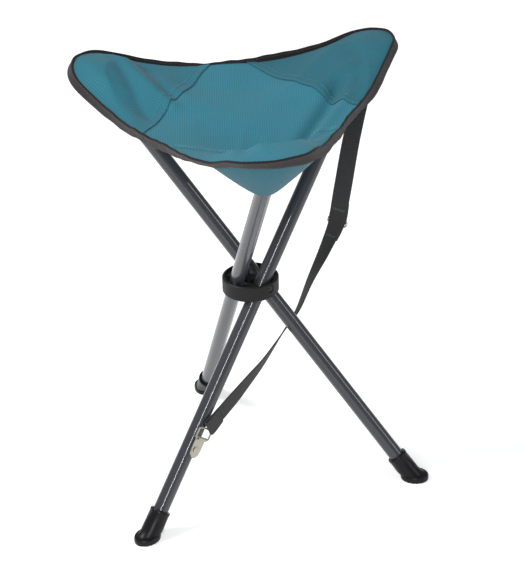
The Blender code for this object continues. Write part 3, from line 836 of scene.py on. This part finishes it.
def tape_line(azimuth):
    """The tape's top line: x, y, z, the outward direction's x and y, and the lean in radians."""
    reach = around(azimuth, EVEN_AZIMUTH, EVEN_REACH)
    step = 0.01
    ahead = around(azimuth + step, EVEN_AZIMUTH, EVEN_REACH)
    behind = around(azimuth - step, EVEN_AZIMUTH, EVEN_REACH)
    run_x = ahead * np.cos(azimuth + step) - behind * np.cos(azimuth - step)
    run_y = ahead * np.sin(azimuth + step) - behind * np.sin(azimuth - step)
    size = np.hypot(run_x, run_y)
    out_x = run_y / size
    out_y = -run_x / size
    inset = shaped(azimuth, 0) * 0.001
    x = reach * np.cos(azimuth) - out_x * inset
    y = reach * np.sin(azimuth) - out_y * inset
    z = around(azimuth, EVEN_AZIMUTH, EVEN[2]) - shaped(azimuth, 1) * 0.001
    return x, y, z, out_x, out_y, np.radians(shaped(azimuth, 2))


def sewn_line():
    """The cloth's edge where the tape holds it: azimuth, reach, z and how near a corner it is."""
    azimuth = np.radians(np.arange(0, 360, 0.25))
    x, y, z, out_x, out_y, lean = tape_line(azimuth)
    depth = shaped(azimuth, 3) * 0.001
    inset = BINDING_THICKNESS * 0.35
    inwards = depth * np.sin(lean) + inset * np.cos(lean)
    x = x - out_x * inwards
    y = y - out_y * inwards
    z = z - depth * np.cos(lean) + inset * np.sin(lean)
    even_z = around(azimuth, EVEN_AZIMUTH, EVEN[2])
    corner = np.clip(1 - (RIM_Z - even_z) / RIM_SAG, 0, 1)
    return np.arctan2(y, x), np.hypot(x, y), z, corner


SEWN_AZIMUTH, SEWN_REACH, SEWN_Z, SEWN_CORNER = sewn_line()


def crease(x, y, start, end, depth, width):
    """A soft trough (or with a negative depth a ridge) along a line, fading at its ends."""
    start = np.array(start)
    run = np.array(end) - start
    length = np.hypot(*run)
    way = run / length
    along = ((x - start[0]) * way[0] + (y - start[1]) * way[1]) / length
    across = (x - start[0]) * way[1] - (y - start[1]) * way[0]
    ends = np.clip(along * 5 + 0.5, 0, 1) * np.clip((1 - along) * 5 + 0.5, 0, 1)
    return -depth * ends * ends * (3 - 2 * ends) * np.exp(-((across / width) ** 2))


TUBE_TIPS = [leg_matrix(leg) @ Vector((0, -TUBE_RADIUS * 0.6, TUBE_TOP)) for leg in LEGS]
TIP_CLEARANCE = 0.0022
TIP_DOME = 9.0
TIP_BLEND = 0.0016

HOLLOW_DEPTH = 0.021
HOLLOW_Y = -0.088
HOLLOW_HALF_X = 0.075
HOLLOW_HALF_Y = 0.048
RIPPLE_HEIGHT = 0.00022

# Each crease's ends in the ground plan, its depth (a ridge where negative) and its half width
CREASES = (
    ((0.100, 0.022), (0.024, -0.108), 0.0082, 0.0085),
    ((0.113, 0.016), (0.043, -0.104), -0.0044, 0.0080),
    ((-0.124, 0.110), (-0.068, 0.016), -0.0046, 0.0090),
    ((-0.156, 0.092), (-0.112, -0.012), -0.0044, 0.0100),
    ((-0.098, 0.136), (-0.066, 0.030), 0.0044, 0.0085),
    ((-0.120, 0.102), (-0.095, 0.000), 0.0044, 0.0085),
    ((0.116, 0.114), (0.132, 0.034), 0.0050, 0.0130),
    ((0.080, -0.026), (0.122, 0.020), 0.0024, 0.0060),
    ((-0.030, -0.170), (-0.022, -0.110), 0.0030, 0.0070),
    ((-0.014, -0.172), (-0.006, -0.110), -0.0022, 0.0060),
    ((-0.060, 0.075), (0.030, 0.050), 0.0014, 0.0110),
    ((-0.050, -0.020), (0.010, -0.050), 0.0012, 0.0120),
)


def seat_z(x, y):
    """The sling's height, with its hollow at the front, creases, tube tips and ripples."""
    x = np.asarray(x, float)
    y = np.asarray(y, float)
    azimuth = np.arctan2(y, x)
    part = np.hypot(x, y) / around(azimuth, SEWN_AZIMUTH, SEWN_REACH)
    corner = around(azimuth, SEWN_AZIMUTH, SEWN_CORNER)
    climbed = np.minimum(1.0, part / (1 - CORNER_FLAT * corner)) ** 2
    z = SEAT_MID_Z + (around(azimuth, SEWN_AZIMUTH, SEWN_Z) - SEAT_MID_Z) * climbed
    inside = np.clip(1 - part * part, 0, 1)
    off_middle = -((x / HOLLOW_HALF_X) ** 2) - (((y - HOLLOW_Y) / HOLLOW_HALF_Y) ** 2)
    z = z - HOLLOW_DEPTH * inside * np.exp(off_middle)
    for start, end, depth, width in CREASES:
        z = z + crease(x, y, start, end, depth, width) * np.minimum(1, 3 * inside)
    for tip in TUBE_TIPS:
        over = tip.z + TIP_CLEARANCE - TIP_DOME * ((x - tip.x) ** 2 + (y - tip.y) ** 2)
        z = (z + over + np.sqrt((z - over) ** 2 + TIP_BLEND**2)) / 2
    ripple = np.sin(61 * x + 23 * y + 1.3) + np.sin(-37 * x + 71 * y + 0.4)
    ripple = ripple + np.sin(97 * x - 53 * y)
    return z + RIPPLE_HEIGHT * ripple * np.minimum(1, 3 * inside)


def seat_normal(x, y, step=0.0008):
    dx = (seat_z(x + step, y) - seat_z(x - step, y)) / (2 * step)
    dy = (seat_z(x, y + step) - seat_z(x, y - step)) / (2 * step)
    size = np.sqrt(1 + dx * dx + dy * dy)
    return np.stack([-dx / size, -dy / size, 1 / size], -1)


def shell(name, points, normals, rows, columns, thickness, material):
    """A closed cloth from a rows by columns grid, thickened below it."""
    top = points.reshape(-1, 3)
    low = top - normals.reshape(-1, 3) * thickness
    count = rows * columns
    faces = grid_faces(rows, columns)
    faces += [tuple(count + i for i in reversed(face)) for face in grid_faces(rows, columns)]
    edge = [r * columns for r in range(rows)]
    edge += [(rows - 1) * columns + c for c in range(1, columns)]
    edge += [r * columns + columns - 1 for r in range(rows - 2, -1, -1)]
    edge += list(range(columns - 2, 0, -1))
    for first, second in zip(edge, edge[1:] + edge[:1]):
        faces.append((first, second, count + second, count + first))
    obj = mesh_object(name, np.vstack([top, low]), faces, material, CLOTH_SMOOTHING)
    tidy(obj, 2e-6)
    return obj


def corner_way(leg):
    azimuth = math.radians(CORNER_AZIMUTH[leg])
    return Vector((math.cos(azimuth), math.sin(azimuth), 0.0))


def seam_offset(leg, lateral):
    """How far the sewn line wanders to and fro along its length."""
    phase = {"a": 0.4, "b": 2.1, "c": 3.9}[leg]
    return 0.0008 * np.sin(lateral * 75 + phase) + 0.0003 * np.sin(lateral * 170 + 2 * phase)


def seam_reach(leg, azimuth):
    """Distance from the middle to a corner's seam along an azimuth."""
    turn = azimuth - math.radians(CORNER_AZIMUTH[leg])
    turn = (turn + math.pi) % (2 * math.pi) - math.pi
    lateral = SEAM_DISTANCE * np.tan(turn)
    return (SEAM_DISTANCE + seam_offset(leg, lateral)) / np.cos(turn)


SEAM_ROWS = (0.0022, 0.0082)
SEAM_HALF_SPAN = 0.105
SEAM_RIM_MARGIN = 0.006
SEAM_END_GAP = 0.0004
LAP_FADE = 0.012


def fold_with(piece):
    """The piece's placement baked into its mesh."""
    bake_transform(piece)


def centre_petal(leg, columns=121, rows=46):
    axis = math.radians(CORNER_AZIMUTH[leg])
    azimuth = axis + np.radians(np.linspace(-60, 60, columns))
    rim = around(azimuth, SEWN_AZIMUTH, SEWN_REACH)
    edge = np.minimum(seam_reach(leg, azimuth) + SEAM_LAP, rim)
    part = np.linspace(0, 1, rows)[:, None]
    x = edge * part * np.cos(azimuth)
    y = edge * part * np.sin(azimuth)
    points = np.stack([x, y, seat_z(x, y)], -1)
    normals = seat_normal(x, y)
    return shell(f"seat_centre_{leg}", points, normals, rows, columns, CLOTH, CLOTH_CENTRE)


def seam_ends(leg):
    """The angles that a corner's seam spans on its clockwise and anticlockwise sides."""
    axis = math.radians(CORNER_AZIMUTH[leg])
    turns = np.radians(np.linspace(35, 60, 400))
    ends = []
    for side in (-1, 1):
        azimuth = axis + side * turns
        gap = around(azimuth, SEWN_AZIMUTH, SEWN_REACH) - seam_reach(leg, azimuth)
        ends.append(turns[np.argmax(gap < SEAM_END_GAP)])
    return ends


def corner_petal(leg, columns=121, rows=56):
    axis = math.radians(CORNER_AZIMUTH[leg])
    low, high = seam_ends(leg)
    azimuth = axis + np.linspace(-low, high, columns)
    near = seam_reach(leg, azimuth)
    far = around(azimuth, SEWN_AZIMUTH, SEWN_REACH)
    part = np.linspace(0, 1, rows)[:, None]
    reach = near + (far - near) * part
    x = reach * np.cos(azimuth)
    y = reach * np.sin(azimuth)
    lap = SEAM_RAISE * np.clip(1 - (reach - near) / LAP_FADE, 0, 1) ** 0.25
    points = np.stack([x, y, seat_z(x, y) + lap], -1)
    normals = seat_normal(x, y)
    return shell(f"seat_corner_{leg}", points, normals, rows, columns, CLOTH, CLOTH_CORNER[leg])


def seam_spots(leg, beyond, pitch=0.0031):
    """Stitch places along a corner's seam, beyond metres outside its edge."""
    way = corner_way(leg)
    side = Vector((-way.y, way.x, 0))
    spots = []
    lateral = -SEAM_HALF_SPAN
    while lateral < SEAM_HALF_SPAN:
        lateral += pitch
        reach = SEAM_DISTANCE + float(seam_offset(leg, lateral)) + beyond
        x, y = (way * reach + side * lateral)[:2]
        rim = float(around(math.atan2(y, x), SEWN_AZIMUTH, SEWN_REACH))
        if math.hypot(x, y) > rim - SEAM_RIM_MARGIN:
            continue
        normal = Vector(seat_normal(x, y))
        place = Vector((x, y, float(seat_z(x, y)) + SEAM_RAISE))
        run = (side - normal * side.dot(normal)).normalized()
        spots.append((place, run, normal))
    return spots


def make_seat():
    for leg in LEGS:
        centre = centre_petal(leg)
        corner = corner_petal(leg)
        spots = [spot for beyond in SEAM_ROWS for spot in seam_spots(leg, beyond)]
        sewing = stitches(f"seat_seam_{leg}", spots, PALE_THREAD if leg == "c" else SEAM_THREAD)
        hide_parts(f"seat_corner_panel_{leg}")
        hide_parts("seat_centre_panel")
        for piece in (centre, corner, sewing):
            fold_with(piece)


make_seat()

# Binding tape round the rim, as a folded band that stands on the cloth's edge

BINDING_ROWS = (0.0019, BINDING_HEIGHT - 0.0018)


def binding_section():
    """The folded tape's section as (outward, downward) points, over its outside and back."""
    half = BINDING_THICKNESS / 2
    inner = half - TAPE_THICKNESS
    waist = {0.85: 1.0, 0.7: 1.0, 0.45: 0.88, 0.25: 1.0}
    outside = [(-half * 0.92, BINDING_HEIGHT), (-half, BINDING_HEIGHT - 0.0005)]
    outside += [(-half * part, BINDING_HEIGHT * k) for k, part in waist.items()]
    for step in range(9):
        angle = math.pi * step / 8
        outside.append((-half * math.cos(angle), half * (1 - math.sin(angle))))
    outside += [(half * part, BINDING_HEIGHT * k) for k, part in reversed(waist.items())]
    outside += [(half, BINDING_HEIGHT - 0.0005), (half * 0.92, BINDING_HEIGHT)]
    inside = [(inner, BINDING_HEIGHT), (inner, half), (0.0, half - inner), (-inner, half)]
    return outside + inside + [(-inner, BINDING_HEIGHT)]


def make_binding(leg, columns=361):
    axis = math.radians(CORNER_AZIMUTH[leg])
    azimuth = axis + np.radians(np.linspace(-60, 60, columns))
    x, y, z, out_x, out_y, lean = tape_line(azimuth)
    z = z + 0.0004 * np.sin(azimuth * 17) + 0.00025 * np.sin(azimuth * 41 + 1)
    run = np.concatenate([[0], np.cumsum(np.hypot(np.hypot(np.diff(x), np.diff(y)), np.diff(z)))])
    section = binding_section()
    verts = []
    uvs = []
    for i in range(columns):
        for outward, down in section:
            off = outward * math.cos(lean[i]) - down * math.sin(lean[i])
            drop = down * math.cos(lean[i]) + outward * math.sin(lean[i])
            verts.append((x[i] + out_x[i] * off, y[i] + out_y[i] * off, z[i] - drop))
            uvs.append((run[i], down))
    faces = capped_faces(columns, len(section))
    obj = mesh_object(f"binding_{leg}", verts, faces, BINDING, WOVEN_SMOOTHING, uvs)
    turned_out(obj)
    spots = []
    for down in BINDING_ROWS:
        for at in np.arange(0.0015, run[-1] - 0.001, STITCH_PITCH):
            i = int(np.searchsorted(run, at))
            ahead = min(columns - 1, i + 1)
            way = Vector((x[ahead] - x[i - 1], y[ahead] - y[i - 1], z[ahead] - z[i - 1]))
            way.normalize()
            rise, level = math.sin(lean[i]), math.cos(lean[i])
            face = Vector((out_x[i] * level, out_y[i] * level, -rise))
            slide = Vector((-out_x[i] * rise, -out_y[i] * rise, -level))
            top = Vector((x[i], y[i], z[i])) + slide * down
            for side in (1, -1):
                spot = top + face * (side * (BINDING_THICKNESS / 2 + 0.0001))
                spots.append((spot, way, face * side))
    sewing = stitches(f"binding_sewing_{leg}", spots, BINDING_THREAD, 0.0017, 0.00022)
    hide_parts("edge_binding")
    for piece in (obj, sewing):
        fold_with(piece)


for LEG in LEGS:
    make_binding(LEG)

# Corner pockets: the patch that hangs from the rim and wraps the tube's end

POCKET_MOUTH = 0.2045
POCKET_TURN = 24.0
POCKET_ROUNDING = 0.24
POCKET_SEWN_SHARE = 0.72
POCKET_CLEARANCE = 0.0004
POCKET_BELLY = 0.003
POCKET_SLOPE = 1.34


def make_pocket(leg, columns=81, rows=31):
    axis = math.radians(CORNER_AZIMUTH[leg])
    pose = leg_matrix(leg)
    inverse = pose.inverted()
    azimuth = axis + np.radians(np.linspace(-POCKET_TURN, POCKET_TURN, columns))
    x, y, z, out_x, out_y, lean = tape_line(azimuth)
    sewn = BINDING_HEIGHT * POCKET_SEWN_SHARE
    off = BINDING_THICKNESS / 2 + POCKET_CLEARANCE
    shift = -sewn * np.sin(lean) - off * np.cos(lean)
    upper_z = z - sewn * np.cos(lean) + off * np.sin(lean)
    upper = np.stack([x + out_x * shift, y + out_y * shift, upper_z], -1)
    span = math.sqrt(1 + POCKET_ROUNDING**2) - POCKET_ROUNDING
    around_tube = TUBE_RADIUS + 0.0012
    mouth = np.array((0.0, around_tube, POCKET_MOUTH))
    sides = [np.array(inverse @ Vector(upper[end])) for end in (0, -1)]
    points = np.zeros((rows, columns, 3))
    for i in range(columns):
        across = 2 * i / (columns - 1) - 1
        side = sides[0 if across < 0 else 1]
        rise = (math.sqrt(across**2 + POCKET_ROUNDING**2) - POCKET_ROUNDING) / span
        low = mouth + (side - mouth) * rise
        low[0] = side[0] * abs(across)
        top = np.array(inverse @ Vector(upper[i]))
        for j in range(rows):
            part = j / (rows - 1)
            point = top + (low - top) * part
            belly = math.sin(math.pi * part) * (1 - across**2) * POCKET_BELLY
            beside = abs(point[0]) - around_tube * 0.8
            wrap = math.sqrt(max(0.0, around_tube**2 - point[0] ** 2))
            if beside > 0:
                wrap = around_tube * 0.6 - beside * POCKET_SLOPE
            point[1] = max(point[1] + belly, wrap)
            points[j, i] = pose @ Vector(point)
    ahead = np.gradient(points, axis=1)
    down = np.gradient(points, axis=0)
    normals = np.cross(ahead, down)
    normals /= np.maximum(np.linalg.norm(normals, axis=-1, keepdims=True), 1e-9)
    outward = np.array(pose.to_3x3() @ Vector((0, 1, 0)))
    if (normals @ outward).mean() < 0:
        normals = -normals
    obj = shell(f"pocket_{leg}", points, normals, rows, columns, CLOTH, POCKET_CLOTH_SHADED)
    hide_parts(f"corner_pocket_{leg}")
    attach(obj, f"leg_{leg}")
    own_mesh(obj)


for LEG in LEGS:
    make_pocket(LEG)

# Tubes and boots


def make_tube(leg):
    inner = TUBE_RADIUS - TUBE_WALL
    profile = [
        (inner, TUBE_TOP - 0.0002),
        (inner + 0.0002, TUBE_TOP),
        (TUBE_RADIUS - 0.0003, TUBE_TOP),
        (TUBE_RADIUS, TUBE_TOP - 0.0003),
        (TUBE_RADIUS, TUBE_BOTTOM + 0.0003),
        (TUBE_RADIUS - 0.0003, TUBE_BOTTOM),
        (inner + 0.0002, TUBE_BOTTOM),
        (inner, TUBE_BOTTOM + 0.0002),
        (inner, TUBE_TOP - 0.0002),
    ]
    obj = lathe(f"tube_{leg}", profile, leg_matrix(leg), TUBE_COAT, 72)
    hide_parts(f"leg_tube_{leg}")
    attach(obj, f"leg_{leg}")


BOOT_TOP = -0.2546
BOOT_RADIUS = 0.0108
SOLE_HALF_WIDTH = 0.0119
SOLE_HEIGHT = 0.0062
GROOVE_PITCH = 0.0048
GROOVE_DEPTH = 0.0012
NECK_TOP = 0.0190
NECK_LENGTH = 0.0128
SOLE_SHOULDER = 0.0006


def sole_centre(leg):
    along = math.radians(CORNER_AZIMUTH[leg] + TOP_OFFSET)
    pin = pin_azimuth(leg)
    centre = Vector((math.cos(pin), math.sin(pin), 0)) * PIN_CIRCLE
    reach = HUB_Z * math.tan(TILT)
    return centre - Vector((math.cos(along), math.sin(along), 0)) * reach, along


def make_boot(leg, segments=96):
    pose = leg_matrix(leg)
    centre, along = sole_centre(leg)
    long_way = Vector((math.cos(along), math.sin(along), 0))
    side_way = Vector((-math.sin(along), math.cos(along), 0))
    half_long = SOLE_HALF_WIDTH / math.cos(TILT)
    angles = [2 * math.pi * step / segments for step in range(segments)]
    bore = TUBE_RADIUS + 0.0001

    def round_ring(radius, height):
        out = []
        for angle in angles:
            spread = long_way * math.cos(angle) + side_way * math.sin(angle)
            local = pose.to_3x3().inverted() @ spread
            local.z = 0
            local.normalize()
            out.append(pose @ (local * radius + Vector((0, 0, height))))
        return out

    def flat_ring(share, height):
        return [
            centre
            + long_way * (math.cos(a) * half_long * share)
            + side_way * (math.sin(a) * SOLE_HALF_WIDTH * share)
            + Vector((0, 0, height))
            for a in angles
        ]

    collar = (
        (bore, 0.004),
        (bore, 0.0002),
        (bore + 0.0006, 0.0),
        (BOOT_RADIUS - 0.0005, 0.0),
        (BOOT_RADIUS, 0.0006),
        (BOOT_RADIUS, 0.0030),
        (BOOT_RADIUS - 0.0003, 0.0036),
        (BOOT_RADIUS - 0.0001, 0.0150),
    )
    rings = [round_ring(radius, BOOT_TOP - below) for radius, below in collar]
    neck_start = round_ring(BOOT_RADIUS, BOOT_TOP - NECK_TOP)
    neck_end = flat_ring(0.86, SOLE_HEIGHT + SOLE_SHOULDER)
    for step in range(11):
        t = step / 10
        ease = t**5
        ring = []
        for first, second in zip(neck_start, neck_end):
            down = pose @ ((pose.inverted() @ first) + Vector((0, 0, -NECK_LENGTH * t)))
            place = down.lerp(second, ease)
            place.z = max(place.z, SOLE_HEIGHT + SOLE_SHOULDER + SOLE_SHOULDER * (1 - t))
            ring.append(place)
        rings.append(ring)
    sole = (
        (0.95, SOLE_HEIGHT + SOLE_SHOULDER),
        (0.985, SOLE_HEIGHT),
        (1.015, SOLE_HEIGHT - 0.0018),
        (1.015, 0.0016),
        (1.0, 0.0005),
    )
    rings += [flat_ring(share, height) for share, height in sole]
    shares = (0.985, 0.95, 0.85, 0.7, 0.55, 0.4, 0.25, 0.1, 0.01)
    tread = [flat_ring(share, 0.0) for share in shares]
    rings += tread
    for ring in tread:
        for place in ring:
            run = (place - centre).dot(long_way) / GROOVE_PITCH
            edge = abs((run % 1.0) - 0.5) * 2
            cut = min(1.0, max(0.0, (0.42 - edge) / 0.18))
            place.z = GROOVE_DEPTH * cut
    verts = [place for ring in rings for place in ring]
    faces = grid_faces(len(rings), segments, closed=True)
    faces.append(tuple((len(rings) - 1) * segments + i for i in range(segments)))
    obj = mesh_object(f"boot_{leg}", verts, faces, BOOT_RUBBER, BOOT_SMOOTHING)
    turned_out(obj)
    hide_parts(f"foot_boot_{leg}")
    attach(obj, f"leg_{leg}")


for LEG in LEGS:
    make_tube(LEG)
    make_boot(LEG)

# Floor and light

FLOOR_HALF_SIZE = 14.0
FLOOR_GLOW = 0.32
SKY_STRENGTH = 0.36
LIGHT_TARGET = (0, 0, 0.25)


def area_light(name, place, target, size, energy):
    data = bpy.data.lights.new(name, "AREA")
    data.shape = "RECTANGLE"
    data.size, data.size_y = size
    data.energy = energy
    light = bpy.data.objects.new(name, data)
    bpy.context.scene.collection.objects.link(light)
    light.location = place
    aim = Vector(target) - Vector(place)
    light.rotation_euler = aim.to_track_quat("-Z", "Y").to_euler()


def make_floor():
    n = Nodes("studio_floor")
    grit = n.noise(n.place(), 3.0, 2.0)
    n.colour(n.mix(grit, (0.90, 0.90, 0.90, 1), (0.92, 0.92, 0.92, 1)))
    n.set(Roughness=0.9, Specular_IOR_Level=0.1)
    n.set(Emission_Color=(1, 1, 1, 1), Emission_Strength=FLOOR_GLOW)
    size = FLOOR_HALF_SIZE
    corners = [(-size, -size, 0), (size, -size, 0), (size, size, 0), (-size, size, 0)]
    floor = mesh_object("floor", corners, [(0, 1, 2, 3)], n.material)


def make_light():
    world = bpy.data.worlds.new("studio")
    world.use_nodes = True
    background = world.node_tree.nodes["Background"]
    background.inputs["Color"].default_value = (1, 1, 1, 1)
    background.inputs["Strength"].default_value = SKY_STRENGTH
    bpy.context.scene.world = world
    area_light("key", (-2.3, 0.3, 2.9), LIGHT_TARGET, (1.2, 1.2), 95)
    area_light("side_strip", (2.05, -1.12, 1.15), LIGHT_TARGET, (0.45, 1.6), 14)
    area_light("front_strip", (-0.62, -2.25, 1.35), LIGHT_TARGET, (0.13, 1.9), 42)
    bpy.context.scene.view_settings.view_transform = "Standard"


make_floor()
make_light()
